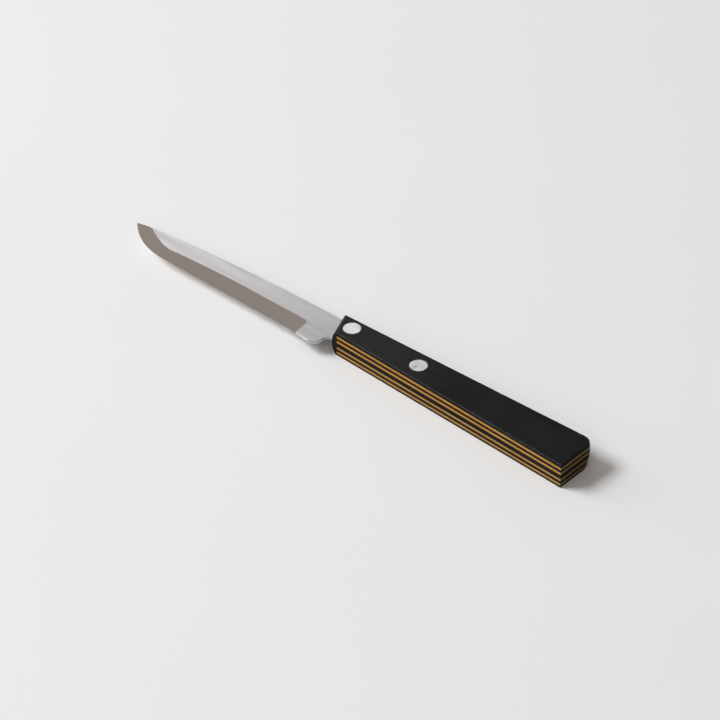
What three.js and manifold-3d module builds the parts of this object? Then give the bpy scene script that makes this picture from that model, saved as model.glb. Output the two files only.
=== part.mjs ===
// Utility knife with a finely serrated edge and a striped laminated handle, lying flat on its handle.
// Millimetres. +X runs from the tip to the butt, +Y to the spine and +Z up from the resting surface.
// Plan sizes are taken from the handle's middle line (y = 0) and its front corner at the spine (x = 0).

import * as THREE from 'three';
import { mergeVertices } from 'three/addons/utils/BufferGeometryUtils.js';
import Module from 'manifold-3d';

// Blade plan
const bladeLength = 110.4;      // tip to the handle's front corner
const bladeThickness = 1.3;
const blankEase = 0.22;         // rounding of the stamped blank's edges
const spineHeight = 7;          // spine above the middle line, at the handle
const clipLength = 7;           // ground-off end of the spine, measured back from the tip
const clipHeight = 1.1;         // spine above the middle line where that end starts
const clipBulge = 0.25;         // how far its curve is drawn above a straight line
const edgeDepth = 10.7;         // cutting edge below the middle line
const bellyLength = 24.5;       // curved edge, measured back from the tip
const bellyPull = 10.8;         // fullness of that curve
const edgeEnd = 14.5;           // end of the cutting edge, in front of the handle

// Heel and choil
const heelDepth = 12;           // heel below the middle line
const heelRadius = 4;
const heelLead = 4.4;           // length of the droop into the heel
const choilRadius = 2.25;       // round notch between heel and handle
const choilDistance = 1.6;      // its centre behind the handle's front corner
const choilTop = 4.75;          // its top below the middle line

// Grind, the same on both faces
const grindWidthHeel = 7.92;    // along the rear half of the edge
const grindWidthBelly = 5.87;   // where the edge starts to curve
const grindRise = 41.2;         // length over which it widens between the two
const grindRisePull = 27.7;     // fullness of the grind line there
const grindTipPull = 5.5;       // and where it climbs to the spine
const edgeLand = 0.1;           // thickness left along the edge
const grindEnd = 12.6;          // end of the grind, in front of the handle
const grindEndLean = 1.3;       // how far that end leans toward the handle at the edge
const grindCornerRadius = 2.2;
const grindCornerLap = 0.04;    // height of the corner's arc above the grind line

// Teeth, ground into the face that lies down
const toothPitch = 1.1;
const toothDepth = 0.2;
const fluteRadius = 0.85;
const fluteAngle = THREE.MathUtils.degToRad(25);
const plainTip = 8;             // length of edge left without teeth at the tip
const plainHeel = 2;            // and at the heel

// Tang
const tangLength = 50.5;        // behind the handle's front corner
const tangFrontWidth = 7.8;
const tangEndWidth = 6.4;
const tangRise = 0.3;           // middle of the tang above the middle line
const shoulderGap = 0.1;        // blade shoulders to the front cap
const tangGap = 0.3;            // around the tang in its pocket
const tangSlip = 0.06;          // above and below the tang

// Handle block
const handleLength = 121.5;
const handleFrontWidth = 11;
const handleButtWidth = 19.7;
const buttCornerRadius = 3.6;   // at the spine side, where it is tightest
const buttCornerHeight = 7.3;   // height of that place
const buttCornerSpread = 0.055; // how fast the corner grows rounder above and below it
const handleEase = 0.3;         // rounding along the broad faces

// Front cap
const frontSlant = THREE.MathUtils.degToRad(22.4);
const noseDepth = 1.85;         // how far its domed front stands out between the broad faces
const capThickness = 0.62;      // at the broad faces
const capGap = 0.05;            // glue line to the plies

// Plies
const lowerFacePly = 1.03;
const lightPly = 1.04;
const lowerDarkPly = 1.16;
const corePly = 1.94;
const upperDarkPly = 1.18;
const upperFacePly = 1.53;

// Two-piece rivets
const rivetHeadDiameter = 7.2;
const rivetTubeDiameter = 4.6;
const rivetPinDiameter = 3.1;
const rivetPinGap = 0.1;        // around the pin in the tube
const rivetEndGap = 0.3;        // beyond the ends of tube and pin
const rivetHoleGap = 0.06;      // around heads and tubes
const frontRivet = new THREE.Vector2(7.7, 0.6);
const rearRivet = new THREE.Vector2(42.5, 0.15);

// Facets
const curveSteps = 12;
const cornerSteps = 10;
const blockSteps = 8;
const grindRiseSteps = 8;
const easeSteps = 3;
const rivetSides = 36;
const fluteSides = 12;
const cutOver = 2;              // how far a cutting tool reaches past what it cuts
const weldDistance = 1e-4;      // corners closer than this are one corner

const tip = new THREE.Vector2(-bladeLength, 0);
const clipStart = new THREE.Vector2(clipLength - bladeLength, clipHeight);
const bellyEnd = new THREE.Vector2(bellyLength - bladeLength, -edgeDepth);
const bellyControl = new THREE.Vector2(bellyPull - bladeLength, -edgeDepth);
const belly = new THREE.QuadraticBezierCurve(tip, bellyControl, bellyEnd);
const straightEdge = new THREE.LineCurve(bellyEnd, new THREE.Vector2(-edgeEnd, -edgeDepth));

const plyStack = [
  ['lower_face_ply', lowerFacePly, 'dark'],
  ['light_ply_1', lightPly, 'light'],
  ['dark_ply_1', lowerDarkPly, 'dark'],
  ['light_ply_2', lightPly, 'light'],
  ['core_ply', corePly, 'dark'],
  ['light_ply_3', lightPly, 'light'],
  ['dark_ply_2', upperDarkPly, 'dark'],
  ['light_ply_4', lightPly, 'light'],
  ['upper_face_ply', upperFacePly, 'dark'],
];
const handleThickness = plyStack.reduce((sum, [, thickness]) => sum + thickness, 0);
const tangTop = lowerFacePly + lightPly + lowerDarkPly + lightPly + corePly - tangSlip;

const materials = {
  steel: new THREE.MeshStandardMaterial({ color: 0xb9b9ba, roughness: 0.3, metalness: 1 }),
  cap: new THREE.MeshStandardMaterial({ color: 0x242425, roughness: 0.5, metalness: 0 }),
  dark: new THREE.MeshStandardMaterial({ color: 0x262525, roughness: 0.6, metalness: 0 }),
  light: new THREE.MeshStandardMaterial({ color: 0xc8922f, roughness: 0.55, metalness: 0 }),
  aluminium: new THREE.MeshStandardMaterial({ color: 0xe4e4e2, roughness: 0.4, metalness: 1 }),
};

const wasm = await Module();
wasm.setup();

// Turns a closed three.js geometry into a solid that can be joined and cut.
function solidOf(geometry) {
  const bare = new THREE.BufferGeometry();
  bare.setAttribute('position', geometry.getAttribute('position').clone());
  bare.setIndex(geometry.getIndex());
  const merged = mergeVertices(bare, weldDistance);
  const corners = merged.getIndex().array;
  const triVerts = [];
  for (let i = 0; i < corners.length; i += 3) {
    const [a, b, c] = corners.slice(i, i + 3);
    if (a !== b && b !== c && c !== a) triVerts.push(a, b, c);
  }
  return new wasm.Manifold(new wasm.Mesh({
    numProp: 3,
    vertProperties: new Float32Array(merged.getAttribute('position').array),
    triVerts: new Uint32Array(triVerts),
  }));
}

function meshOf(name, solid, material) {
  const { vertProperties, triVerts } = solid.getMesh();
  const geometry = new THREE.BufferGeometry();
  geometry.setAttribute('position', new THREE.BufferAttribute(new Float32Array(vertProperties), 3));
  geometry.setIndex(new THREE.BufferAttribute(new Uint32Array(triVerts), 1));
  geometry.computeVertexNormals();
  const mesh = new THREE.Mesh(geometry, material);
  mesh.name = name;
  return mesh;
}

function cylinderAlongZ(diameter, bottom, top, place) {
  const cylinder = new THREE.CylinderGeometry(diameter / 2, diameter / 2, top - bottom, rivetSides);
  cylinder.rotateX(Math.PI / 2);
  cylinder.translate(place.x, place.y, (bottom + top) / 2);
  return solidOf(cylinder);
}

// Flat plate with rounded edges, lying between z = bottom and z = bottom + thickness.
function easedPlate(shape, thickness, ease, bottom) {
  const plate = new THREE.ExtrudeGeometry(shape, {
    depth: thickness - 2 * ease,
    bevelThickness: ease,
    bevelSize: ease,
    bevelOffset: -ease,
    bevelSegments: easeSteps,
    curveSegments: curveSteps,
  });
  plate.translate(0, 0, bottom + ease);
  return solidOf(plate);
}

// Closed skin over a row of hollow-free sections, all with as many corners. In a mirrored row they turn
// the other way round.
function loft(sections, mirrored) {
  const positions = sections.flat().flatMap((corner) => corner.toArray());
  const count = sections[0].length;
  const last = count * (sections.length - 1);
  const index = [];
  for (let i = 1; i + 1 < count; i += 1) {
    index.push(0, i + 1, i);
    index.push(last, last + i, last + i + 1);
  }
  for (let i = 0; i + 1 < sections.length; i += 1) {
    for (let side = 0; side < count; side += 1) {
      const a = count * i + side;
      const b = count * i + ((side + 1) % count);
      index.push(a, b, b + count, a, b + count, a + count);
    }
  }
  const geometry = new THREE.BufferGeometry();
  geometry.setAttribute('position', new THREE.Float32BufferAttribute(positions, 3));
  geometry.setIndex(mirrored ? index.reverse() : index);
  return solidOf(geometry);
}

// Where the slanted front edge of the broad faces lies at a height above the middle line.
function frontEdgeAt(y) {
  return (handleFrontWidth / 2 - y) * Math.tan(frontSlant);
}

// Where the blade's shoulders stop at that height, just in front of the cap's dome.
function shoulderAt(y) {
  return frontEdgeAt(y) - noseDepth / Math.cos(frontSlant) - shoulderGap;
}

// Adds the tang to an outline that runs from the edge side to the spine side, with a gap around it.
function addTang(path, gap) {
  const frontHalf = tangFrontWidth / 2 + gap;
  const endHalf = tangEndWidth / 2 + gap;
  const endCentre = tangLength - tangEndWidth / 2;
  path.lineTo(shoulderAt(tangRise - frontHalf), tangRise - frontHalf);
  path.lineTo(endCentre, tangRise - endHalf);
  path.absarc(endCentre, tangRise, endHalf, -Math.PI / 2, Math.PI / 2, false);
  path.lineTo(shoulderAt(tangRise + frontHalf), tangRise + frontHalf);
}

// Stamped outline: round the belly, along the edge, round heel and choil, along the tang and the spine.
function blankShape() {
  const choil = new THREE.Vector2(choilDistance, -choilTop - choilRadius);
  const heelY = heelRadius - heelDepth;
  const reach = heelRadius + choilRadius;
  const heel = new THREE.Vector2(choil.x - Math.sqrt(reach ** 2 - (choil.y - heelY) ** 2), heelY);
  const turn = Math.atan2(choil.y - heel.y, choil.x - heel.x);
  const spineEnd = shoulderAt(spineHeight);

  const shape = new THREE.Shape();
  shape.moveTo(tip.x, tip.y);
  shape.quadraticCurveTo(bellyControl.x, bellyControl.y, bellyEnd.x, bellyEnd.y);
  shape.lineTo(-edgeEnd, -edgeDepth);
  shape.quadraticCurveTo(heel.x - heelLead, -heelDepth, heel.x, -heelDepth);
  shape.absarc(heel.x, heel.y, heelRadius, -Math.PI / 2, turn, false);
  shape.absarc(choil.x, choil.y, choilRadius, turn + Math.PI, Math.PI / 2, true);
  shape.lineTo(shoulderAt(-choilTop), -choilTop);
  addTang(shape, 0);
  shape.lineTo(spineEnd, spineHeight);
  shape.quadraticCurveTo((spineEnd + clipStart.x) / 2, spineHeight, clipStart.x, clipStart.y);
  const clipMiddle = clipStart.clone().lerp(tip, 0.5);
  shape.quadraticCurveTo(clipMiddle.x, clipMiddle.y + clipBulge, tip.x, tip.y);
  return shape;
}

// Paired points along the grind line and the edge, from the tip to past the heel end of the grind.
function grindPairs() {
  const lineY = grindWidthHeel - edgeDepth;
  const riseStart = new THREE.Vector2(bellyEnd.x, grindWidthBelly - edgeDepth);
  const risePull = new THREE.Vector2(bellyEnd.x + grindRisePull, lineY);
  const riseEnd = new THREE.Vector2(bellyEnd.x + grindRise, lineY);
  const rise = new THREE.QuadraticBezierCurve(riseStart, risePull, riseEnd);
  const tipPull = riseStart.clone().lerp(risePull, -grindTipPull / grindRisePull);
  const climb = new THREE.QuadraticBezierCurve(clipStart, tipPull, riseStart);
  const pairs = [];
  for (let i = 0; i <= curveSteps; i += 1) {
    const along = i / curveSteps;
    pairs.push([climb.getPoint(along), belly.getPoint(along)]);
  }
  for (let i = 1; i <= grindRiseSteps; i += 1) {
    const onLine = rise.getPoint(i / grindRiseSteps);
    pairs.push([onLine, new THREE.Vector2(onLine.x, -edgeDepth)]);
  }
  const pastEnd = cutOver - grindEnd;
  pairs.push([new THREE.Vector2(pastEnd, lineY), new THREE.Vector2(pastEnd, -edgeDepth)]);
  const [firstLine, firstEdge] = pairs[0];
  const [nextLine, nextEdge] = pairs[1];
  pairs.unshift([firstLine.clone().lerp(nextLine, -1), firstEdge.clone().lerp(nextEdge, -1)]);
  return pairs;
}

// Plan of what the grinding wheel reaches at the heel: a leaning end with a rounded upper corner.
function grindEndShape() {
  const lineTop = grindWidthHeel - edgeDepth + grindCornerLap;
  const far = bladeLength + cutOver;
  const topLeft = new THREE.Vector2(bellyEnd.x + grindRise, lineTop);
  const corner = new THREE.Vector2(-grindEnd, lineTop);
  const bottom = new THREE.Vector2(grindEndLean - grindEnd, -edgeDepth);
  const beyond = bottom.clone().lerp(corner, -1);
  const toLeft = topLeft.clone().sub(corner).normalize();
  const toBottom = bottom.clone().sub(corner).normalize();
  const halfAngle = Math.acos(toLeft.dot(toBottom)) / 2;
  const setback = grindCornerRadius / Math.tan(halfAngle);
  const arcStart = corner.clone().addScaledVector(toBottom, setback);
  const arcEnd = corner.clone().addScaledVector(toLeft, setback);
  const shape = new THREE.Shape();
  shape.moveTo(-far, beyond.y);
  shape.lineTo(beyond.x, beyond.y);
  shape.lineTo(arcStart.x, arcStart.y);
  shape.quadraticCurveTo(corner.x, corner.y, arcEnd.x, arcEnd.y);
  shape.lineTo(topLeft.x, topLeft.y);
  shape.lineTo(topLeft.x, spineHeight);
  shape.lineTo(-far, spineHeight);
  return shape;
}

// What grinding takes off one face; face is 1 for the upper one and -1 for the one that lies down.
function grindOff(face) {
  const half = bladeThickness / 2;
  const top = half + cutOver;
  const sections = grindPairs().map(([onLine, onEdge]) => {
    const line = new THREE.Vector3(onLine.x, onLine.y, half);
    const edge = new THREE.Vector3(onEdge.x, onEdge.y, edgeLand / 2);
    const reach = cutOver / line.distanceTo(edge);
    const inner = line.clone().lerp(edge, -reach);
    const outer = edge.clone().lerp(line, -reach);
    const section = [inner, inner.clone().setZ(top), outer.clone().setZ(top), outer];
    section.forEach((corner) => corner.setZ(corner.z * face));
    return section;
  });
  const end = new THREE.ExtrudeGeometry(grindEndShape(), {
    depth: 2 * top,
    bevelEnabled: false,
    curveSegments: curveSteps,
  });
  end.translate(0, 0, -top);
  return loft(sections, face < 0).intersect(solidOf(end));
}

// Row of flutes that leaves the teeth, square to the edge and sloping out through the lower face.
function fluteRow() {
  const edge = new THREE.CurvePath();
  edge.add(belly);
  edge.add(straightEdge);
  const length = edge.getLength();
  const count = Math.floor((length - plainTip - plainHeel) / toothPitch);
  const grindSlope = (bladeThickness - edgeLand) / 2 / grindWidthHeel;
  const upper = edgeLand / 2 + toothDepth * grindSlope;
  const start = upper + toothDepth * Math.tan(fluteAngle);
  const up = new THREE.Vector3(0, 0, 1);
  let row = null;
  for (let i = 0; i < count; i += 1) {
    const along = (length - plainHeel - (i + 0.5) * toothPitch) / length;
    const place = edge.getPointAt(along);
    const tangent = edge.getTangentAt(along);
    const inward = new THREE.Vector3(-tangent.y, tangent.x, 0);
    const sideways = new THREE.Vector3().crossVectors(inward, up);
    const axis = inward.clone().applyAxisAngle(sideways, -fluteAngle);
    const crown = up.clone().applyAxisAngle(sideways, -fluteAngle);
    const flute = new THREE.CylinderGeometry(fluteRadius, fluteRadius, 2 * cutOver, fluteSides);
    const frame = new THREE.Matrix4().makeBasis(sideways, axis, crown);
    frame.setPosition(new THREE.Vector3(place.x, place.y, start).addScaledVector(crown, -fluteRadius));
    flute.applyMatrix4(frame);
    row = row ? row.add(solidOf(flute)) : solidOf(flute);
  }
  return row;
}

function makeBlade() {
  const tangHole = rivetTubeDiameter + 2 * rivetHoleGap;
  let blade = easedPlate(blankShape(), bladeThickness, blankEase, -bladeThickness / 2);
  blade = blade.subtract(grindOff(1)).subtract(grindOff(-1)).subtract(fluteRow());
  [frontRivet, rearRivet].forEach((place) => {
    blade = blade.subtract(cylinderAlongZ(tangHole, -bladeThickness, bladeThickness, place));
  });
  const mesh = meshOf('blade', blade, materials.steel);
  mesh.position.z = tangTop - bladeThickness / 2;
  return mesh;
}

// Tapered outline of the handle at a height, drawn in near the broad faces and square at the front until
// the cap is shaped. One corner of the butt is round.
function handleOutline(height) {
  const toFace = Math.min(height, handleThickness - height);
  const intoEase = THREE.MathUtils.clamp(handleEase - toFace, 0, handleEase);
  const inset = handleEase - Math.sqrt(handleEase ** 2 - intoEase ** 2);
  const taper = (handleButtWidth - handleFrontWidth) / 2 / handleLength;
  const sideAt = (x) => handleFrontWidth / 2 + taper * x - inset;
  const start = -noseDepth - cutOver;
  const end = handleLength - inset;
  const radius = buttCornerRadius + buttCornerSpread * (height - buttCornerHeight) ** 2 - inset;
  const lean = Math.atan(taper);
  const setback = radius / Math.tan((Math.PI / 2 - lean) / 2);
  const round = new THREE.EllipseCurve(
    end - radius,
    sideAt(end) - setback,
    radius,
    radius,
    0,
    Math.PI / 2 + lean,
  );
  const corners = [
    new THREE.Vector2(start, sideAt(start)),
    new THREE.Vector2(start, -sideAt(start)),
    new THREE.Vector2(end, -sideAt(end)),
    ...round.getPoints(cornerSteps),
  ];
  return corners.map(({ x, y }) => new THREE.Vector3(x, y, height));
}

// Whole handle before it is divided, as outlines one above the other.
function handleBlock() {
  const lowerEase = [];
  for (let i = 0; i <= easeSteps; i += 1) {
    lowerEase.push(handleEase * (1 - Math.cos((i / easeSteps) * (Math.PI / 2))));
  }
  const upperEase = lowerEase.map((height) => handleThickness - height).reverse();
  const between = [];
  for (let i = 1; i < blockSteps; i += 1) {
    between.push(THREE.MathUtils.lerp(handleEase, handleThickness - handleEase, i / blockSteps));
  }
  return loft([...lowerEase, ...between, ...upperEase].map(handleOutline), false);
}

// Solid with the same side view all along the slanted front end. The view's x runs back from the front
// edge of the broad faces and its y runs up from the resting surface.
function alongFront(sideView) {
  const prism = new THREE.ExtrudeGeometry(sideView, {
    depth: (2 * handleButtWidth) / Math.cos(frontSlant),
    bevelEnabled: false,
    curveSegments: cornerSteps,
  });
  const back = new THREE.Vector3(Math.cos(frontSlant), Math.sin(frontSlant), 0);
  const up = new THREE.Vector3(0, 0, 1);
  const frame = new THREE.Matrix4().makeBasis(back, up, new THREE.Vector3().crossVectors(back, up));
  frame.setPosition(frontEdgeAt(handleButtWidth), handleButtWidth, 0);
  prism.applyMatrix4(frame);
  return solidOf(prism);
}

// Side view of the cap: an arc from one broad face to the other in front of a straight joint.
function capView() {
  const half = handleThickness / 2;
  const radius = (half ** 2 + noseDepth ** 2) / (2 * noseDepth);
  const centre = radius - noseDepth;
  const halfAngle = Math.atan2(half, centre);
  const view = new THREE.Shape();
  view.moveTo(capThickness, -cutOver);
  view.lineTo(capThickness, handleThickness + cutOver);
  view.lineTo(0, handleThickness + cutOver);
  view.lineTo(0, handleThickness);
  view.absarc(centre, half, radius, Math.PI - halfAngle, Math.PI + halfAngle, false);
  view.lineTo(0, -cutOver);
  return view;
}

// Everything in front of the plies.
function plyFrontView() {
  const joint = capThickness + capGap;
  const far = -handleFrontWidth;
  const view = new THREE.Shape();
  view.moveTo(far, -cutOver);
  view.lineTo(joint, -cutOver);
  view.lineTo(joint, handleThickness + cutOver);
  view.lineTo(far, handleThickness + cutOver);
  return view;
}

// Pocket for the tang between two heights, open at the front end.
function tangPocket(bottom, top) {
  const shape = new THREE.Shape();
  const half = tangFrontWidth / 2 + tangGap;
  const front = shoulderAt(handleFrontWidth / 2) - cutOver;
  shape.moveTo(front, tangRise + half);
  shape.lineTo(front, tangRise - half);
  addTang(shape, tangGap);
  const pocket = new THREE.ExtrudeGeometry(shape, {
    depth: top - bottom,
    bevelEnabled: false,
    curveSegments: curveSteps,
  });
  pocket.translate(0, 0, bottom);
  return solidOf(pocket);
}

// Black end piece with a slot that the tang goes through.
function makeCap(block) {
  const slot = tangPocket(tangTop - bladeThickness - tangSlip, tangTop + tangSlip);
  return meshOf('front_cap', block.intersect(alongFront(capView())).subtract(slot), materials.cap);
}

// Slices the handle block into its plies and drills them for the rivets.
function makePlies(block) {
  const laminate = block.subtract(alongFront(plyFrontView()));
  const lastPly = plyStack.length - 1;
  const pocket = tangPocket(tangTop - bladeThickness - tangSlip, handleThickness);
  let bottom = 0;
  return plyStack.map(([name, thickness, colour], i) => {
    const top = bottom + thickness;
    const slab = new THREE.BoxGeometry(2 * handleLength, 2 * handleButtWidth, thickness);
    slab.translate(handleLength / 2, 0, (bottom + top) / 2);
    let ply = laminate.intersect(solidOf(slab));
    const isFace = i === 0 || i === lastPly;
    const drill = (isFace ? rivetHeadDiameter : rivetTubeDiameter) + 2 * rivetHoleGap;
    [frontRivet, rearRivet].forEach((place) => {
      ply = ply.subtract(cylinderAlongZ(drill, bottom - cutOver, top + cutOver, place));
    });
    if (name === 'core_ply') ply = ply.subtract(pocket);
    bottom = top;
    return meshOf(name, ply, materials[colour]);
  });
}

// Turned piece from a half profile of radius and height pairs, standing at a place on the handle.
function turned(name, profile, place) {
  const points = profile.map(([radius, height]) => new THREE.Vector2(radius, height));
  const lathe = new THREE.LatheGeometry(points, rivetSides);
  lathe.rotateX(Math.PI / 2);
  const mesh = meshOf(name, solidOf(lathe), materials.aluminium);
  mesh.position.set(place.x, place.y, 0);
  return mesh;
}

// Pin with its head in the lower face, pressed into a tube with its head in the upper face.
function makeRivet(name, place) {
  const head = rivetHeadDiameter / 2;
  const tube = rivetTubeDiameter / 2;
  const pin = rivetPinDiameter / 2;
  const bore = pin + rivetPinGap;
  const seat = handleThickness - upperFacePly;
  const tubeEnd = lowerFacePly + rivetEndGap;
  const pinEnd = seat - rivetEndGap;
  const pinProfile = [
    [0, 0],
    [head, 0],
    [head, lowerFacePly],
    [pin, lowerFacePly],
    [pin, pinEnd],
    [0, pinEnd],
  ];
  const tubeProfile = [
    [0, seat],
    [bore, seat],
    [bore, tubeEnd],
    [tube, tubeEnd],
    [tube, seat],
    [head, seat],
    [head, handleThickness],
    [0, handleThickness],
  ];
  return [turned(`${name}_pin`, pinProfile, place), turned(`${name}_tube`, tubeProfile, place)];
}

const knife = new THREE.Group();
knife.add(makeBlade());
const block = handleBlock();
knife.add(makeCap(block));
knife.add(...makePlies(block));
knife.add(...makeRivet('front_rivet', frontRivet));
knife.add(...makeRivet('rear_rivet', rearRivet));

// The origin lies under the middle of the whole knife, on the resting surface.
const middle = new THREE.Box3().setFromObject(knife, true).getCenter(new THREE.Vector3());
knife.position.set(-middle.x, -middle.y, 0);

export default knife;
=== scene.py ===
"""Looks of a small serrated utility knife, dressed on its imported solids.

Lengths are metres in the frame of the solids: +X runs from the tip to the butt,
+Y from the cutting edge to the spine, and +Z up from the surface it lies on.
A pitch is how often a pattern changes along each axis, per metre.
"""

import logging
from dataclasses import dataclass, field
from enum import Enum
from typing import ClassVar

import bpy
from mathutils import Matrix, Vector


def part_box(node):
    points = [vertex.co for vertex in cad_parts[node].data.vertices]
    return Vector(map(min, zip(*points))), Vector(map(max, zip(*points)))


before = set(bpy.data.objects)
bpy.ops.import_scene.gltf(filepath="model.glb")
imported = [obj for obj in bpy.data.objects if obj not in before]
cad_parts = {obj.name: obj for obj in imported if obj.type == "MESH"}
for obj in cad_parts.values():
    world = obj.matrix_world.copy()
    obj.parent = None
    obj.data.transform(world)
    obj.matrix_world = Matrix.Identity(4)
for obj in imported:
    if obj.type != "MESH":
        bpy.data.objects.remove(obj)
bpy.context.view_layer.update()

log = logging.getLogger("knife")

MM = 0.001

Colour = tuple[float, float, float]
Triple = tuple[float, float, float]
Span = tuple[float, float]
Source = bpy.types.NodeSocket | float | Triple


class Slot(Enum):
    """Material slots of the record."""

    STEEL = "blade_steel"
    CAP = "cap_black"
    DARK = "dark_ply"
    LIGHT = "light_ply"
    RIVET = "rivet_metal"


class Ease(Enum):
    """How a value runs between two ends."""

    LINEAR = "LINEAR"
    SMOOTH = "SMOOTHSTEP"


class Blend(Enum):
    """What a mix node mixes."""

    COLOUR = "RGBA"
    VECTOR = "VECTOR"


@dataclass(frozen=True)
class Cloud:
    """A noise, and the part of its range that is spread out to 0 and 1."""

    detail: float
    roughness: float
    span: Span = (0.0, 1.0)


@dataclass
class Graph:
    """A shader node tree while it is being built."""

    tree: bpy.types.NodeTree

    def node(self, kind: str, **settings: object) -> bpy.types.Node:
        """Adds a node.

        Args:
            kind: The node's type name.
            settings: Plain properties of the node.

        Returns:
            The new node.
        """
        made = self.tree.nodes.new(kind)
        for name, value in settings.items():
            setattr(made, name, value)
        return made

    def feed(self, socket: bpy.types.NodeSocket, value: Source) -> None:
        """Links an output to an input, or sets the input's own value.

        Args:
            socket: The input.
            value: An output to link, or a plain value.
        """
        if isinstance(value, bpy.types.NodeSocket):
            self.tree.links.new(value, socket)
        else:
            socket.default_value = value

    def math(self, operation: str, first: Source, second: Source = 0.0) -> bpy.types.NodeSocket:
        """Works out one value from two.

        Args:
            operation: The sum to do.
            first: The first value.
            second: The second value.

        Returns:
            The output that holds the result.
        """
        made = self.node("ShaderNodeMath", operation=operation)
        self.feed(made.inputs[0], first)
        self.feed(made.inputs[1], second)
        return made.outputs[0]

    def noise(self, pitch: Source, cloud: Cloud) -> bpy.types.NodeSocket:
        """Adds a noise that stays with the solid.

        Args:
            pitch: The noise's pitch.
            cloud: The noise's settings.

        Returns:
            The noise, near 0.5 on average.
        """
        stretched = self.node("ShaderNodeVectorMath", operation="MULTIPLY")
        self.feed(stretched.inputs[0], self.own_place())
        self.feed(stretched.inputs[1], pitch)
        made = self.node("ShaderNodeTexNoise")
        self.feed(made.inputs["Vector"], stretched.outputs[0])
        made.inputs["Scale"].default_value = 1.0
        made.inputs["Detail"].default_value = cloud.detail
        made.inputs["Roughness"].default_value = cloud.roughness
        return made.outputs["Fac"]

    def spread(
        self, pitch: Source, cloud: Cloud, low: Source = 0.0, high: Source = 1.0
    ) -> bpy.types.NodeSocket:
        """Adds a noise and spreads out the part of its range that is used.

        Args:
            pitch: The noise's pitch.
            cloud: The noise's settings.
            low: The result at the start of that part.
            high: The result at its end.

        Returns:
            The spread noise.
        """
        return self.between(self.noise(pitch, cloud), *cloud.span, low, high)

    def between(
        self,
        value: Source,
        start: Source,
        end: Source,
        low: Source = 0.0,
        high: Source = 1.0,
        ease: Ease = Ease.SMOOTH,
    ) -> bpy.types.NodeSocket:
        """Maps a value from one range to another and holds it there.

        Args:
            value: The value to map.
            start: Where the result is low.
            end: Where the result is high.
            low: The result at the start.
            high: The result at the end.
            ease: How the result runs between them.

        Returns:
            The mapped value.
        """
        made = self.node("ShaderNodeMapRange", interpolation_type=ease.value)
        for name, given in (
            ("Value", value),
            ("From Min", start),
            ("From Max", end),
            ("To Min", low),
            ("To Max", high),
        ):
            self.feed(made.inputs[name], given)
        return made.outputs["Result"]

    def share(self, share: Source, low: Source, high: Source) -> bpy.types.NodeSocket:
        """Goes from one value to another in step with a share from 0 to 1.

        Args:
            share: The share.
            low: The result at 0.
            high: The result at 1.

        Returns:
            The value between them.
        """
        return self.between(share, 0.0, 1.0, low, high, Ease.LINEAR)

    def mix(
        self, blend: Blend, share: Source, below: Source, above: Source
    ) -> bpy.types.NodeSocket:
        """Mixes two colours or two vectors.

        Args:
            blend: What is mixed.
            share: How much of the second one shows.
            below: The first one.
            above: The second one.

        Returns:
            The mixed colour or vector.
        """
        made = self.node("ShaderNodeMix", data_type=blend.value, clamp_factor=True)
        self.feed(made.inputs["Factor"], share)
        for name, given in (("A", below), ("B", above)):
            socket = next(i for i in made.inputs if i.name == name and i.type == blend.value)
            self.feed(socket, given)
        return next(o for o in made.outputs if o.type == blend.value)

    def tint(self, share: Source, below: Source, above: Source) -> bpy.types.NodeSocket:
        """Mixes two colours, plain ones or outputs.

        Args:
            share: How much of the second colour shows.
            below: The first colour.
            above: The second colour.

        Returns:
            The mixed colour.
        """
        colours = [(*c, 1.0) if isinstance(c, tuple) else c for c in (below, above)]
        return self.mix(Blend.COLOUR, share, *colours)

    def vector(self, x: Source, y: Source, z: Source) -> bpy.types.NodeSocket:
        """Puts a vector together.

        Args:
            x: Its X part.
            y: Its Y part.
            z: Its Z part.

        Returns:
            The vector.
        """
        made = self.node("ShaderNodeCombineXYZ")
        for name, given in (("X", x), ("Y", y), ("Z", z)):
            self.feed(made.inputs[name], given)
        return made.outputs[0]

    def parts(self, vector: bpy.types.NodeSocket) -> bpy.types.NodeOutputs:
        """Splits a vector.

        Args:
            vector: The vector.

        Returns:
            Its X, Y and Z parts.
        """
        split = self.node("ShaderNodeSeparateXYZ")
        self.feed(split.inputs[0], vector)
        return split.outputs

    def own_place(self) -> bpy.types.NodeSocket:
        """Gives a point's own place on the solid, in metres."""
        return self.node("ShaderNodeTexCoord").outputs["Object"]

    def own_axes(self) -> bpy.types.NodeOutputs:
        """Gives the X, Y and Z parts of a point's own place on the solid."""
        return self.parts(self.own_place())

    def face(self) -> bpy.types.NodeSocket:
        """Gives the direction that a face of the solid looks in."""
        return self.node("ShaderNodeNewGeometry").outputs["True Normal"]

    def face_axes(self) -> bpy.types.NodeOutputs:
        """Gives the X, Y and Z parts of the direction that a face looks in."""
        return self.parts(self.face())


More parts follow.
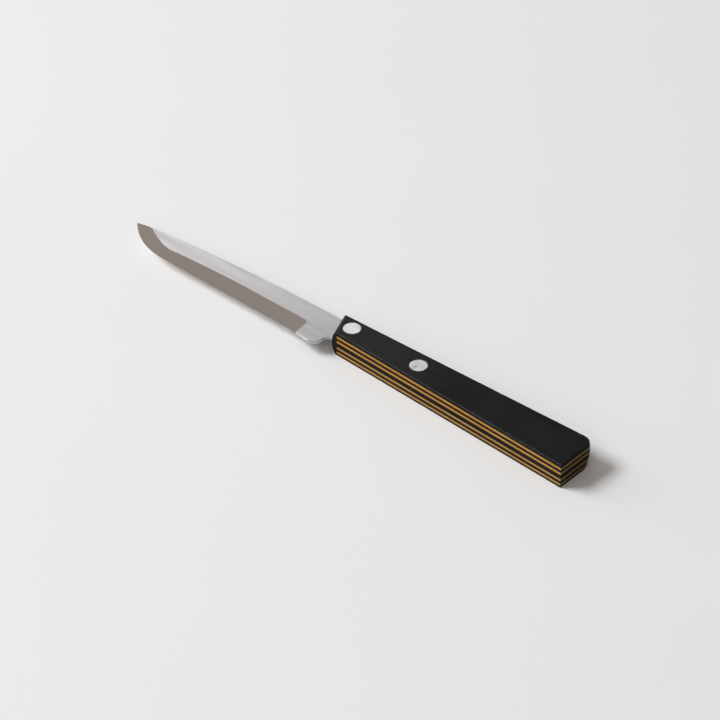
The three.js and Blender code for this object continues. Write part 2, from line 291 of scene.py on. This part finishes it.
@dataclass
class Effect:
    """A node group that several finishes share, built once."""

    name: ClassVar[str] = ""
    inputs: ClassVar[tuple[tuple[str, str, Source], ...]] = ()
    outputs: ClassVar[tuple[str, ...]] = ()

    def lay_out(
        self, graph: Graph, given: bpy.types.NodeOutputs
    ) -> dict[str, bpy.types.NodeSocket]:
        """Builds the inside of the group.

        Args:
            graph: The group's own tree.
            given: The group's inputs.

        Returns:
            What each output of the group shows.
        """
        raise NotImplementedError

    def group(self) -> bpy.types.NodeTree:
        """Finds the group, or builds it the first time.

        Returns:
            The group's tree.
        """
        found = bpy.data.node_groups.get(self.name)
        if found is not None:
            return found
        tree = bpy.data.node_groups.new(self.name, "ShaderNodeTree")
        for label, kind, value in self.inputs:
            socket = tree.interface.new_socket(label, in_out="INPUT", socket_type=kind)
            socket.default_value = value
        for label in self.outputs:
            tree.interface.new_socket(label, in_out="OUTPUT", socket_type="NodeSocketFloat")
        graph = Graph(tree)
        given = graph.node("NodeGroupInput").outputs
        end = graph.node("NodeGroupOutput")
        for label, shown in self.lay_out(graph, given).items():
            graph.feed(end.inputs[label], shown)
        return tree

    def place(self, graph: Graph, **values: Source) -> bpy.types.NodeOutputs:
        """Places the group in a material.

        Args:
            graph: The material's tree.
            values: This material's own values, by input name with _ for a space.

        Returns:
            The placed group's outputs.
        """
        made = graph.node("ShaderNodeGroup", node_tree=self.group())
        for label, value in values.items():
            graph.feed(made.inputs[label.replace("_", " ")], value)
        return made.outputs


class FineLines(Effect):
    """Lines left by brushing, grinding or sanding: fine ones, and broader streaks among them."""

    name = "fine_lines"
    inputs = (
        ("Pitch", "NodeSocketVector", (60.0, 9000.0, 9000.0)),
        ("Streak Pitch", "NodeSocketVector", (14.0, 900.0, 900.0)),
    )
    outputs = ("Lines", "Streaks")
    fine: ClassVar[Cloud] = Cloud(2.0, 0.6, (0.3, 0.7))
    broad: ClassVar[Cloud] = Cloud(3.0, 0.55, (0.32, 0.68))

    def lay_out(
        self, graph: Graph, given: bpy.types.NodeOutputs
    ) -> dict[str, bpy.types.NodeSocket]:
        """Stretches two noises along the lines.

        Args:
            graph: The group's own tree.
            given: The group's inputs.

        Returns:
            The fine lines and the broader streaks.
        """
        return {
            "Lines": graph.spread(given["Pitch"], self.fine),
            "Streaks": graph.spread(given["Streak Pitch"], self.broad),
        }


class PlyGrain(Effect):
    """Grain of a pressed, dyed veneer: fibres along it, short pores, and broad clouds."""

    name = "ply_grain"
    inputs = (
        ("Fibre Pitch", "NodeSocketVector", (110.0, 4200.0, 4200.0)),
        ("Pore Pitch", "NodeSocketVector", (420.0, 5200.0, 5200.0)),
        ("Pore Share", "NodeSocketFloat", 0.64),
    )
    outputs = ("Fibre", "Pores", "Cloud", "End")
    fibre: ClassVar[Cloud] = Cloud(4.0, 0.62, (0.28, 0.72))
    pore: ClassVar[Cloud] = Cloud(1.0, 0.5)
    pore_edge: ClassVar[float] = 0.05
    cloud: ClassVar[Cloud] = Cloud(3.0, 0.5, (0.3, 0.7))
    cloud_pitch: ClassVar[Triple] = (45.0, 190.0, 190.0)
    end_face: ClassVar[Span] = (0.76, 0.96)

    def lay_out(
        self, graph: Graph, given: bpy.types.NodeOutputs
    ) -> dict[str, bpy.types.NodeSocket]:
        """Lays fibres, pores and clouds, and finds the faces cut across the grain.

        Args:
            graph: The group's own tree.
            given: The group's inputs.

        Returns:
            The fibres, the pores, the clouds, and the share of end grain.
        """
        pore = graph.noise(given["Pore Pitch"], self.pore)
        inside = graph.math("ADD", given["Pore Share"], self.pore_edge)
        across = graph.math("ABSOLUTE", graph.face_axes()["X"])
        return {
            "Fibre": graph.spread(given["Fibre Pitch"], self.fibre),
            "Pores": graph.between(pore, given["Pore Share"], inside),
            "Cloud": graph.spread(self.cloud_pitch, self.cloud),
            "End": graph.between(across, *self.end_face),
        }


class CornerWearAndGlint(Effect):
    """Where a corner is worn, or given a painted glint: found from how a rounded normal leaves
    the face's own.
    """

    name = "corner_wear_and_glint"
    inputs = (
        ("Reach", "NodeSocketFloat", 0.0003),
        ("Patchiness", "NodeSocketFloat", 0.6),
    )
    outputs = ("Wear", "Long")
    samples: ClassVar[int] = 6
    turned_face: ClassVar[Span] = (0.995, 0.86)
    patch: ClassVar[Cloud] = Cloud(3.0, 0.6, (0.35, 0.65))
    patch_pitch: ClassVar[Triple] = (900.0, 900.0, 900.0)
    upper_face: ClassVar[Span] = (0.2, 0.5)
    long_face: ClassVar[Span] = (0.5, 0.2)

    def lay_out(
        self, graph: Graph, given: bpy.types.NodeOutputs
    ) -> dict[str, bpy.types.NodeSocket]:
        """Compares the two normals and breaks the result up with noise.

        Args:
            graph: The group's own tree.
            given: The group's inputs.

        Returns:
            The share on every corner, and on the long upper corners alone, where it makes a
            painted glint.
        """
        bevel = graph.node("ShaderNodeBevel", samples=self.samples)
        graph.feed(bevel.inputs["Radius"], given["Reach"])
        rounded = bevel.outputs["Normal"]
        agreement = graph.node("ShaderNodeVectorMath", operation="DOT_PRODUCT")
        graph.feed(agreement.inputs[0], rounded)
        graph.feed(agreement.inputs[1], graph.face())
        edge = graph.between(agreement.outputs["Value"], *self.turned_face)
        patch = graph.spread(self.patch_pitch, self.patch)
        kept = graph.math("SUBTRACT", 1.0, given["Patchiness"])
        broken = graph.math("ADD", kept, graph.math("MULTIPLY", patch, given["Patchiness"]))
        worn_and_glinting_corners = graph.math("MULTIPLY", edge, broken)
        turned = graph.parts(rounded)
        # The long upper corners, which take the painted glint.
        upper = graph.between(turned["Z"], *self.upper_face)
        lengthwise = graph.between(graph.math("ABSOLUTE", turned["X"]), *self.long_face)
        return {
            "Wear": worn_and_glinting_corners,
            "Long": graph.math("MULTIPLY", worn_and_glinting_corners, graph.math("MULTIPLY", upper, lengthwise)),
        }


@dataclass(frozen=True)
class Finish:
    """What every finish has."""

    name: str
    slot: Slot | None = None

    def paint(self, graph: Graph, shader: bpy.types.Node) -> None:
        """Feeds the finish's own nodes to the shader.

        Args:
            graph: The material's tree.
            shader: The material's shader.
        """
        raise NotImplementedError

    def material(self) -> bpy.types.Material:
        """Builds the finish's material.

        Returns:
            The material.
        """
        made = bpy.data.materials.new(self.name)
        made.use_nodes = True
        made.node_tree.nodes.clear()
        graph = Graph(made.node_tree)
        shader = graph.node("ShaderNodeBsdfPrincipled")
        end = graph.node("ShaderNodeOutputMaterial")
        graph.feed(end.inputs["Surface"], shader.outputs["BSDF"])
        self.paint(graph, shader)
        return made

    def dress(self, piece: bpy.types.Object) -> None:
        """Gives a solid this finish.

        Args:
            piece: The solid's object.
        """
        found = bpy.data.materials.get(self.name) or self.material()
        for slot in piece.material_slots:
            slot.link = "OBJECT"
            slot.material = found


@dataclass(frozen=True, kw_only=True)
class LinedFinish(Finish):
    """A finish with fine lines in it, as brushing, grinding or sanding leaves."""

    line_pitch: Triple
    streak_pitch: Triple
    wear_reach: float
    wear_patchiness: float
    roughness: Span
    anisotropy: float
    waver: float
    relief_depth: float
    relief_strength: float

    def lines(self, graph: Graph) -> bpy.types.NodeOutputs:
        """Lays the fine lines and the streaks."""
        return FineLines().place(graph, Pitch=self.line_pitch, Streak_Pitch=self.streak_pitch)

    def worn_and_glinting_corners(self, graph: Graph) -> bpy.types.NodeOutputs:
        """Finds the worn corners, and the long upper ones that carry a painted glint."""
        return CornerWearAndGlint().place(graph, Reach=self.wear_reach, Patchiness=self.wear_patchiness)

    def stretch(self, graph: Graph, shader: bpy.types.Node, turned: Source = 0.0) -> None:
        """Stretches the highlights across the lines, wavering with the streaks.

        Args:
            graph: The material's tree.
            shader: The material's shader.
            turned: 0 where the lines run along X, and 1 where they run along Y.
        """
        drift = graph.spread(self.streak_pitch, FineLines.broad, -self.waver, self.waver)
        sideways = graph.share(turned, drift, 1.0)
        across = graph.vector(sideways, graph.share(turned, 1.0, 0.0), 0.0)
        shader.inputs["Anisotropic"].default_value = self.anisotropy
        graph.feed(shader.inputs["Tangent"], across)

    def bump(
        self,
        graph: Graph,
        shader: bpy.types.Node,
        height: bpy.types.NodeSocket,
        facing: bpy.types.NodeSocket | None = None,
    ) -> None:
        """Turns a height into relief on the surface.

        Args:
            graph: The material's tree.
            shader: The material's shader.
            height: The height, where 1 is the finish's whole depth.
            facing: The direction the surface looks in, where that isn't the solid's own.
        """
        made = graph.node("ShaderNodeBump")
        if facing is not None:
            graph.feed(made.inputs["Normal"], facing)
        made.inputs["Strength"].default_value = self.relief_strength
        made.inputs["Distance"].default_value = self.relief_depth
        graph.feed(made.inputs["Height"], height)
        graph.feed(shader.inputs["Normal"], made.outputs["Normal"])


@dataclass(frozen=True)
class SteelFinish(LinedFinish):
    """Steel brushed along the blade, with the grind's own lines across it.

    The face spans are shares of the upright: where a flat turns into the grind, and a
    wall into a broad face. Near the tip the grind is shaded in one even sweep, whose lean
    grows along the belly.
    """

    brushed: Colour = (0.470, 0.460, 0.456)
    streaked: Colour = (0.622, 0.609, 0.603)
    # Painted shade: the flats darken toward the heel, in place of the brushed highlight fading
    # there.
    painted_heel_shade: Colour = (0.234, 0.229, 0.227)
    painted_heel_shade_share: float = 0.3
    painted_heel_shade_span: Span = (-0.10, 0.01)
    ground: Colour = (0.785, 0.708, 0.661)
    ground_dark: Colour = (0.755, 0.681, 0.635)
    ground_line_pitch: Triple = (7000.0, 60.0, 60.0)
    ground_streak_pitch: Triple = (700.0, 20.0, 20.0)
    wall: Colour = (0.60, 0.59, 0.58)
    wall_roughness: float = 0.5
    worn_and_glint_colour: Colour = (0.50, 0.49, 0.48)
    ground_face: Span = (0.9992, 0.9984)
    broad_face: Span = (0.85, 0.90)
    even_span: Span = (-0.099, -0.105)
    belly_span: Span = (-0.092, -0.114)
    belly_lean: float = -0.068
    grind_lean: float = -0.088
    line_pitch: Triple = (50.0, 9500.0, 3000.0)
    streak_pitch: Triple = (12.0, 800.0, 400.0)
    wear_reach: float = 0.12 * MM
    wear_patchiness: float = 0.4
    roughness: Span = (0.31, 0.36)
    anisotropy: float = 0.95
    waver: float = 0.03
    relief_depth: float = 0.004 * MM
    relief_strength: float = 0.35

    def even(self, graph: Graph, ground: bpy.types.NodeSocket) -> bpy.types.NodeSocket:
        """Runs the grind round the belly in one sweep, without the solid's facets.

        Args:
            graph: The material's tree.
            ground: The share of the grind.

        Returns:
            The direction the surface looks in.
        """
        along = graph.own_axes()["X"]
        lean = graph.between(along, *self.belly_span, 0.0, self.belly_lean, Ease.LINEAR)
        side = graph.math("SIGN", graph.face_axes()["Z"])
        swept = graph.vector(lean, self.grind_lean, side)
        share = graph.math("MULTIPLY", ground, graph.between(along, *self.even_span))
        own = graph.node("ShaderNodeNewGeometry").outputs["Normal"]
        facing = graph.node("ShaderNodeVectorMath", operation="NORMALIZE")
        graph.feed(facing.inputs[0], graph.mix(Blend.VECTOR, share, own, swept))
        return facing.outputs[0]

    def paint(self, graph: Graph, shader: bpy.types.Node) -> None:
        """Brushes the flats and paints shade on them toward the heel, grinds the bevels, dulls
        the walls, and rubs the corners.

        Args:
            graph: The material's tree.
            shader: The material's shader.
        """
        upright = graph.math("ABSOLUTE", graph.face_axes()["Z"])
        leaning = graph.between(upright, *self.ground_face)
        broad = graph.between(upright, *self.broad_face)
        ground = graph.math("MULTIPLY", leaning, broad)
        along = self.lines(graph)
        across = FineLines().place(
            graph, Pitch=self.ground_line_pitch, Streak_Pitch=self.ground_streak_pitch
        )
        streaks = graph.math("MULTIPLY", along["Lines"], along["Streaks"])
        # Painted shade: the flats are darkened toward the heel, standing in for the highlight
        # fading there.
        heel = graph.between(graph.own_axes()["X"], *self.painted_heel_shade_span, 0.0, self.painted_heel_shade_share)
        flat = graph.tint(streaks, self.brushed, self.streaked)
        bevel = graph.tint(across["Streaks"], self.ground, self.ground_dark)
        colour = graph.tint(ground, graph.tint(heel, flat, self.painted_heel_shade), bevel)
        colour = graph.tint(self.worn_and_glinting_corners(graph)["Wear"], colour, self.worn_and_glint_colour)
        graph.feed(shader.inputs["Base Color"], graph.tint(broad, self.wall, colour))
        shader.inputs["Metallic"].default_value = 1.0
        lines = graph.share(ground, along["Lines"], across["Lines"])
        brushed = graph.share(lines, *self.roughness)
        graph.feed(shader.inputs["Roughness"], graph.share(broad, self.wall_roughness, brushed))
        self.stretch(graph, shader, ground)
        self.bump(graph, shader, lines, self.even(graph, ground))


@dataclass(frozen=True)
class PlyFinish(LinedFinish):
    """A dyed veneer of the laminate, sanded along the handle, with a painted sheen at its front.

    The painted sheen, a highlight put into the colour, lies on faces that look up. The glue
    darkens a share of the ply's thickness at both of its sides.
    """

    ground: Colour = (0.0055, 0.0055, 0.0058)
    fibre: Colour = (0.0135, 0.0135, 0.0138)
    fibre_relief: float = 0.5
    pore: Colour = (0.003, 0.003, 0.003)
    pore_share: float = 0.8
    # End grain darkened, and darker still as painted shade on the ends.
    end_grain_and_painted_shade: Colour = (0.004, 0.004, 0.004)
    end_share: float = 0.9
    # Painted sheen: a lighter colour on upward faces near the front, standing in for the lamp's
    # highlight there.
    painted_front_sheen: Colour = (0.0170, 0.0170, 0.0174)
    painted_front_sheen_share: float = 0.85
    painted_front_sheen_span: Span = (0.062, 0.020)
    painted_front_sheen_face: Span = (0.3, 0.9)
    glue_share: float = 0.0
    glue_span: float = 0.16
    # Worn corners, and on the plies and nose a painted glint along the long upper corners.
    worn_and_glint_colour: Colour = (0.42, 0.42, 0.42)
    glint_and_worn_share: float = 0.05
    sheen: float = 0.08
    line_pitch: Triple = (90.0, 7000.0, 7000.0)
    streak_pitch: Triple = (30.0, 1500.0, 1500.0)
    wear_reach: float = 0.35 * MM
    wear_patchiness: float = 0.7
    roughness: Span = (0.44, 0.56)
    anisotropy: float = 0.85
    waver: float = 0.06
    relief_depth: float = 0.018 * MM
    relief_strength: float = 0.5

    def paint(self, graph: Graph, shader: bpy.types.Node) -> None:
        """Lays the grain, the painted sheen at the front, the glue, the end grain with its
        painted shade, and the worn corners with their painted glint.

        Args:
            graph: The material's tree.
            shader: The material's shader.
        """
        grain = PlyGrain().place(graph)
        mixed = graph.math("MULTIPLY", grain["Fibre"], grain["Cloud"])
        colour = graph.tint(mixed, self.ground, self.fibre)
        # Painted sheen: upward faces near the front are lightened, a highlight put into the
        # colour.
        if self.painted_front_sheen_share:
            painted_sheen_reach = graph.between(graph.own_axes()["X"], *self.painted_front_sheen_span, 0.0, self.painted_front_sheen_share)
            upward = graph.between(graph.face_axes()["Z"], *self.painted_front_sheen_face)
            colour = graph.tint(graph.math("MULTIPLY", painted_sheen_reach, upward), colour, self.painted_front_sheen)
        if self.glue_share:
            height = graph.parts(graph.node("ShaderNodeTexCoord").outputs["Generated"])["Z"]
            inside = graph.math("MINIMUM", height, graph.math("SUBTRACT", 1.0, height))
            glued = graph.between(inside, self.glue_span, 0.0, 0.0, self.glue_share)
            colour = graph.tint(glued, colour, self.pore)
        for found, share, shade in (
            (grain["Pores"], self.pore_share, self.pore),
            # End grain darkening, deepened as painted shade.
            (grain["End"], self.end_share, self.end_grain_and_painted_shade),
            # Painted glint: the long upper corners are lightened as a highlight.
            (self.worn_and_glinting_corners(graph)["Long"], self.glint_and_worn_share, self.worn_and_glint_colour),
        ):
            colour = graph.tint(graph.math("MULTIPLY", found, share), colour, shade)
        graph.feed(shader.inputs["Base Color"], colour)
        sanded = graph.share(self.lines(graph)["Lines"], *self.roughness)
        graph.feed(shader.inputs["Roughness"], sanded)
        shader.inputs["Specular IOR Level"].default_value = self.sheen
        self.stretch(graph, shader)
        fibres = graph.math("MULTIPLY", grain["Fibre"], self.fibre_relief)
        self.bump(graph, shader, graph.math("SUBTRACT", fibres, grain["Pores"]))


@dataclass(frozen=True)
class RivetFinish(LinedFinish):
    """Aluminium sanded flush with the handle, dark at its rim."""

    sanded: Colour = (0.625, 0.62, 0.615)
    streaked: Colour = (0.755, 0.745, 0.74)
    rim: Colour = (0.10, 0.098, 0.096)
    stained: Colour = (0.36, 0.31, 0.28)
    stain: Triple = (0.0, 0.0, 0.0)
    stain_radius: float = 0.0
    stain_core: float = 0.3
    line_pitch: Triple = (160.0, 8000.0, 8000.0)
    streak_pitch: Triple = (120.0, 1800.0, 1800.0)
    wear_reach: float = 0.4 * MM
    wear_patchiness: float = 0.3
    roughness: Span = (0.31, 0.37)
    anisotropy: float = 0.95
    waver: float = 0.08
    relief_depth: float = 0.005 * MM
    relief_strength: float = 0.35

    def paint(self, graph: Graph, shader: bpy.types.Node) -> None:
        """Sands the head along the handle, darkens its rim, and leaves its stain.

        Args:
            graph: The material's tree.
            shader: The material's shader.
        """
        sanding = self.lines(graph)
        colour = graph.tint(sanding["Streaks"], self.sanded, self.streaked)
        colour = graph.tint(self.worn_and_glinting_corners(graph)["Wear"], colour, self.rim)
        if self.stain_radius:
            away = graph.node("ShaderNodeVectorMath", operation="DISTANCE")
            graph.feed(away.inputs[0], graph.own_place())
            graph.feed(away.inputs[1], self.stain)
            core = self.stain_core * self.stain_radius
            spot = graph.between(away.outputs["Value"], self.stain_radius, core)
            patchy = graph.math("MULTIPLY", spot, sanding["Streaks"])
            colour = graph.tint(patchy, colour, self.stained)
        graph.feed(shader.inputs["Base Color"], colour)
        shader.inputs["Metallic"].default_value = 1.0
        graph.feed(shader.inputs["Roughness"], graph.share(sanding["Lines"], *self.roughness))
        self.stretch(graph, shader)
        self.bump(graph, shader, sanding["Lines"])


@dataclass(frozen=True)
class FloorFinish(Finish):
    """A pale matt surface, faintly uneven."""

    pale: Colour = (0.79, 0.79, 0.79)
    paler: Colour = (0.81, 0.81, 0.81)
    mottle: Cloud = Cloud(3.0, 0.5)
    mottle_pitch: Triple = (9.0, 9.0, 9.0)

    def paint(self, graph: Graph, shader: bpy.types.Node) -> None:
        """Mottles the surface a little.

        Args:
            graph: The material's tree.
            shader: The material's shader.
        """
        mottled = graph.noise(self.mottle_pitch, self.mottle)
        graph.feed(shader.inputs["Base Color"], graph.tint(mottled, self.pale, self.paler))
        shader.inputs["Roughness"].default_value = 1.0
        shader.inputs["Specular IOR Level"].default_value = 0.0


@dataclass
class Blade:
    """The steel: one solid with its grinds, teeth and tang."""

    node: str = "blade"
    finish: SteelFinish = field(
        default_factory=lambda: SteelFinish("brushed_blade_steel", Slot.STEEL)
    )

    def dress(self) -> list[str]:
        """Gives the blade its steel and names it."""
        self.finish.dress(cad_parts[self.node])
        return [self.node]


@dataclass
class Handle:
    """The laminate of dark and light plies, with its black nose."""

    upper: str = "upper_face_ply"
    dark: tuple[str, ...] = ("lower_face_ply", "dark_ply_1", "core_ply", "dark_ply_2")
    lower: tuple[str, ...] = ("light_ply_1", "light_ply_2")
    light: tuple[str, ...] = ("light_ply_3", "light_ply_4")
    cap: str = "front_cap"
    # The upper ply carries a strong painted glint along its long upper corners.
    upper_finish: PlyFinish = field(
        default_factory=lambda: PlyFinish("black_ply_with_painted_glint", Slot.DARK, glint_and_worn_share=0.9)
    )
    dark_finish: PlyFinish = field(
        default_factory=lambda: PlyFinish("black_dyed_ply", Slot.DARK)
    )
    light_finish: PlyFinish = field(
        default_factory=lambda: PlyFinish(
            "golden_dyed_ply",
            Slot.LIGHT,
            ground=(0.410, 0.197, 0.031),
            fibre=(0.512, 0.268, 0.054),
            pore=(0.21, 0.085, 0.008),
            worn_and_glint_colour=(0.60, 0.36, 0.08),
            end_grain_and_painted_shade=(0.173, 0.104, 0.033),
            painted_front_sheen_share=0.0,
            glue_share=0.8,
            glint_and_worn_share=0.1,
            sheen=0.14,
        )
    )
    lower_finish: PlyFinish = field(
        default_factory=lambda: PlyFinish(
            "dull_golden_dyed_ply",
            Slot.LIGHT,
            ground=(0.355, 0.190, 0.045),
            fibre=(0.443, 0.251, 0.070),
            pore=(0.16, 0.072, 0.009),
            worn_and_glint_colour=(0.52, 0.36, 0.12),
            end_grain_and_painted_shade=(0.16, 0.10, 0.035),
            painted_front_sheen_share=0.0,
            glue_share=0.9,
            glue_span=0.24,
            glint_and_worn_share=0.1,
            sheen=0.14,
        )
    )
    cap_finish: PlyFinish = field(
        default_factory=lambda: PlyFinish(
            "black_cap",
            Slot.CAP,
            ground=(0.008, 0.008, 0.0083),
            fibre=(0.013, 0.013, 0.0133),
            # Painted highlight along the top of the nose's front edge.
            painted_front_sheen=(0.036, 0.036, 0.0365),
            painted_front_sheen_span=(0.004, -0.004),
            glint_and_worn_share=0.5,
            roughness=(0.40, 0.50),
            relief_depth=0.01 * MM,
        )
    )

    def dress(self) -> list[str]:
        """Gives each ply and the nose its finish.

        Returns:
            The names of the dressed solids.
        """
        dressed = []
        for names, finish in (
            ((self.cap,), self.cap_finish),
            ((self.upper,), self.upper_finish),
            (self.dark, self.dark_finish),
            (self.lower, self.lower_finish),
            (self.light, self.light_finish),
        ):
            for name in names:
                finish.dress(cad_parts[name])
                dressed.append(name)
        return dressed


@dataclass
class Rivet:
    """A tube and the pin pressed into it, both sanded flush."""

    place: str
    finish: RivetFinish = field(
        default_factory=lambda: RivetFinish("sanded_rivet_metal", Slot.RIVET)
    )

    def dress(self) -> list[str]:
        """Gives the tube and the pin their metal.

        Returns:
            The names of the dressed solids.
        """
        names = [f"{self.place}_rivet_tube", f"{self.place}_rivet_pin"]
        for name in names:
            self.finish.dress(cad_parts[name])
        return names


@dataclass
class StainedRivet(Rivet):
    """The rear rivet, darker than the front one and stained near its rim."""

    place: str = "rear"
    sanded: Colour = (0.545, 0.54, 0.535)
    streaked: Colour = (0.655, 0.645, 0.64)
    stain_offset: Span = (-0.5 * MM, -1.45 * MM)
    stain_radius: float = 1.4 * MM

    def __post_init__(self) -> None:
        """Puts the stain on the tube's head, off its middle."""
        low, high = (Vector(corner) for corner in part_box("rear_rivet_tube"))
        middle = (low + high) / 2
        aside, back = self.stain_offset
        self.finish = RivetFinish(
            "stained_rivet_metal",
            Slot.RIVET,
            sanded=self.sanded,
            streaked=self.streaked,
            stain=(middle.x + aside, middle.y + back, high.z),
            stain_radius=self.stain_radius,
        )


@dataclass(frozen=True)
class SoftLamp:
    """A soft oval lamp that looks at the knife."""

    name: str
    toward: Triple
    distance: float
    width: float
    height: float
    power: float
    colour: Colour

    def hang(self) -> str:
        """Hangs the lamp in the scene.

        Returns:
            The lamp's name.
        """
        lamp = bpy.data.lights.new(self.name, "AREA")
        lamp.shape = "ELLIPSE"
        lamp.size = self.width
        lamp.size_y = self.height
        lamp.energy = self.power
        lamp.color = self.colour
        made = bpy.data.objects.new(self.name, lamp)
        away = Vector(self.toward).normalized()
        made.location = away * self.distance
        made.rotation_euler = away.to_track_quat("Z", "Y").to_euler()
        bpy.context.scene.collection.objects.link(made)
        return made.name


@dataclass
class Studio:
    """The pale floor, the soft lamps and the room's own light."""

    floor_half: float = 5.0
    floor_steps: int = 8
    lamps: tuple[SoftLamp, ...] = (
        SoftLamp(
            "key_lamp",
            toward=(-0.93, -0.60, 1.0),
            distance=3.6,
            width=2.0,
            height=1.4,
            power=118.0,
            colour=(0.976, 0.997, 1.027),
        ),
        SoftLamp(
            "low_lamp",
            toward=(-0.95, -0.25, 0.29),
            distance=4.0,
            width=2.0,
            height=2.0,
            power=36.0,
            colour=(1.0, 1.0, 0.99),
        ),
        SoftLamp(
            "edge_side_lamp",
            toward=(0.30, -0.80, 0.60),
            distance=4.0,
            width=2.4,
            height=2.4,
            power=25.0,
            colour=(1.06, 1.0, 0.92),
        ),
    )
    room_bright: Colour = (0.52, 0.507, 0.490)
    room_dim: Colour = (0.050, 0.036, 0.024)
    bright_side: Triple = (-0.98, -0.2, 0.0)

    def floor(self) -> str:
        """Lays the floor under the knife.

        Returns:
            The floor's name.
        """
        step = 2 * self.floor_half / self.floor_steps
        count = self.floor_steps + 1
        points = [
            (-self.floor_half + step * i, -self.floor_half + step * j, 0.0)
            for j in range(count)
            for i in range(count)
        ]
        corners = [
            j * count + i for j in range(self.floor_steps) for i in range(self.floor_steps)
        ]
        faces = [(a, a + 1, a + 1 + count, a + count) for a in corners]
        mesh = bpy.data.meshes.new("floor")
        mesh.from_pydata(points, [], faces)
        made = bpy.data.objects.new("floor", mesh)
        bpy.context.scene.collection.objects.link(made)
        mesh.materials.append(FloorFinish("pale_floor").material())
        return made.name

    def room(self) -> str:
        """Fills the room with light that fades away from its bright side.

        Returns:
            The world's name.
        """
        world = bpy.data.worlds.new("room")
        world.use_nodes = True
        graph = Graph(world.node_tree)
        shade = next(n for n in world.node_tree.nodes if n.type == "BACKGROUND")
        toward = graph.node("ShaderNodeVectorMath", operation="DOT_PRODUCT")
        graph.feed(toward.inputs[0], graph.node("ShaderNodeTexCoord").outputs["Generated"])
        graph.feed(toward.inputs[1], self.bright_side)
        share = graph.between(toward.outputs["Value"], -1.0, 1.0, ease=Ease.LINEAR)
        graph.feed(shade.inputs["Color"], graph.tint(share, self.room_dim, self.room_bright))
        shade.inputs["Strength"].default_value = 1.0
        bpy.context.scene.world = world
        return world.name


@dataclass
class PhotoCamera:
    """The camera at the photograph's angle."""

    eye: Triple = (0.696332, -0.764584, 0.795775)
    aim: Triple = (0.008479, -0.000646, 0.0)
    lens: float = 166.375
    sensor: float = 36.0

    def place(self) -> str:
        """Sets the camera up and makes it the scene's own.

        Returns:
            The camera's name.
        """
        data = bpy.data.cameras.new("photo_camera")
        data.sensor_width = self.sensor
        data.lens = self.lens
        made = bpy.data.objects.new("photo_camera", data)
        made.location = self.eye
        away = Vector(self.eye) - Vector(self.aim)
        made.rotation_euler = away.to_track_quat("Z", "Y").to_euler()
        bpy.context.scene.collection.objects.link(made)
        bpy.context.scene.camera = made
        return made.name


def main() -> None:
    """Dresses the knife, then sets up the studio and the camera."""
    logging.basicConfig(level=logging.INFO, format="%(message)s")
    bpy.context.scene.view_settings.view_transform = "Standard"
    for part in (Blade(), Handle(), Rivet("front"), StainedRivet()):
        for name in part.dress():
            log.info("dressed %s", name)
    studio = Studio()
    lamps = [lamp.hang() for lamp in studio.lamps]
    for made in (studio.floor(), *lamps, studio.room(), PhotoCamera().place()):
        log.info("set up %s", made)


if __name__ == "__main__":
    main()
